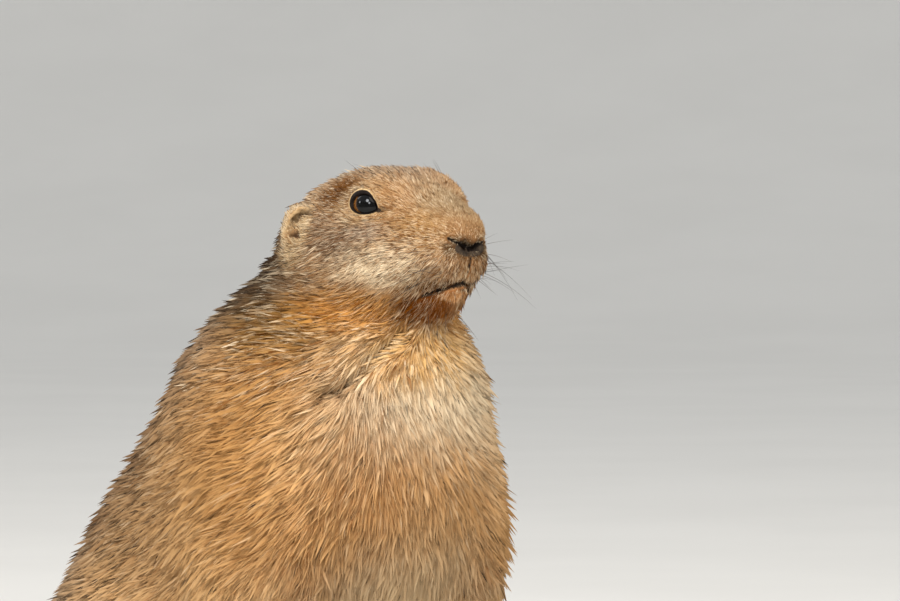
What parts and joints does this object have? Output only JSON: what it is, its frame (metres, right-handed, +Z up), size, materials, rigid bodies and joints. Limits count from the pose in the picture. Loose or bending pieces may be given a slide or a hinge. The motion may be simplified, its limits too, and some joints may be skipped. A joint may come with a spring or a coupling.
{
  "type": "prairie dog",
  "caption": "Life-size black-tailed prairie dog sitting on its haunches, forefeet on the floor, head up and turned a little to its left, short black-tipped tail on the floor behind.",
  "frame": {"origin": "on the floor under the middle of the bounding box", "axes": "+Z up, the animal faces -Y with its tail towards +Y, its left side is +X"},
  "size_m": [0.111, 0.2484, 0.1943],
  "materials": {
    "head_fur": "short dense fur, tan crown and nose, grey-brown cheeks, pale round the eyes and lips",
    "ear_fur": "very short pale tan fur, thin on the inside of the cup",
    "body_fur": "dense fur, golden tan on the sides, grizzled brown on the back, cream on the chest and belly",
    "foot_fur": "very short pale buff fur",
    "black_fur": "stiff brown-black fur of the last third of the tail",
    "eye": "wet, almost black, with a narrow dark brown iris",
    "claw": "dark horn, worn smooth"
  },
  "bodies": {
    "root": {"head": "head_fur", "ear_left": "ear_fur", "ear_right": "ear_fur", "eye_left": "eye", "eye_right": "eye", "neck": "body_fur", "torso": "body_fur", "foreleg_left": "body_fur", "foreleg_right": "body_fur", "forefoot_left": "foot_fur", "forefoot_right": "foot_fur", "hindleg_left": "body_fur", "hindleg_right": "body_fur", "hindfoot_left": "foot_fur", "hindfoot_right": "foot_fur", "tail": "body_fur", "tail_tip": "black_fur"}
  },
  "joints": []
}
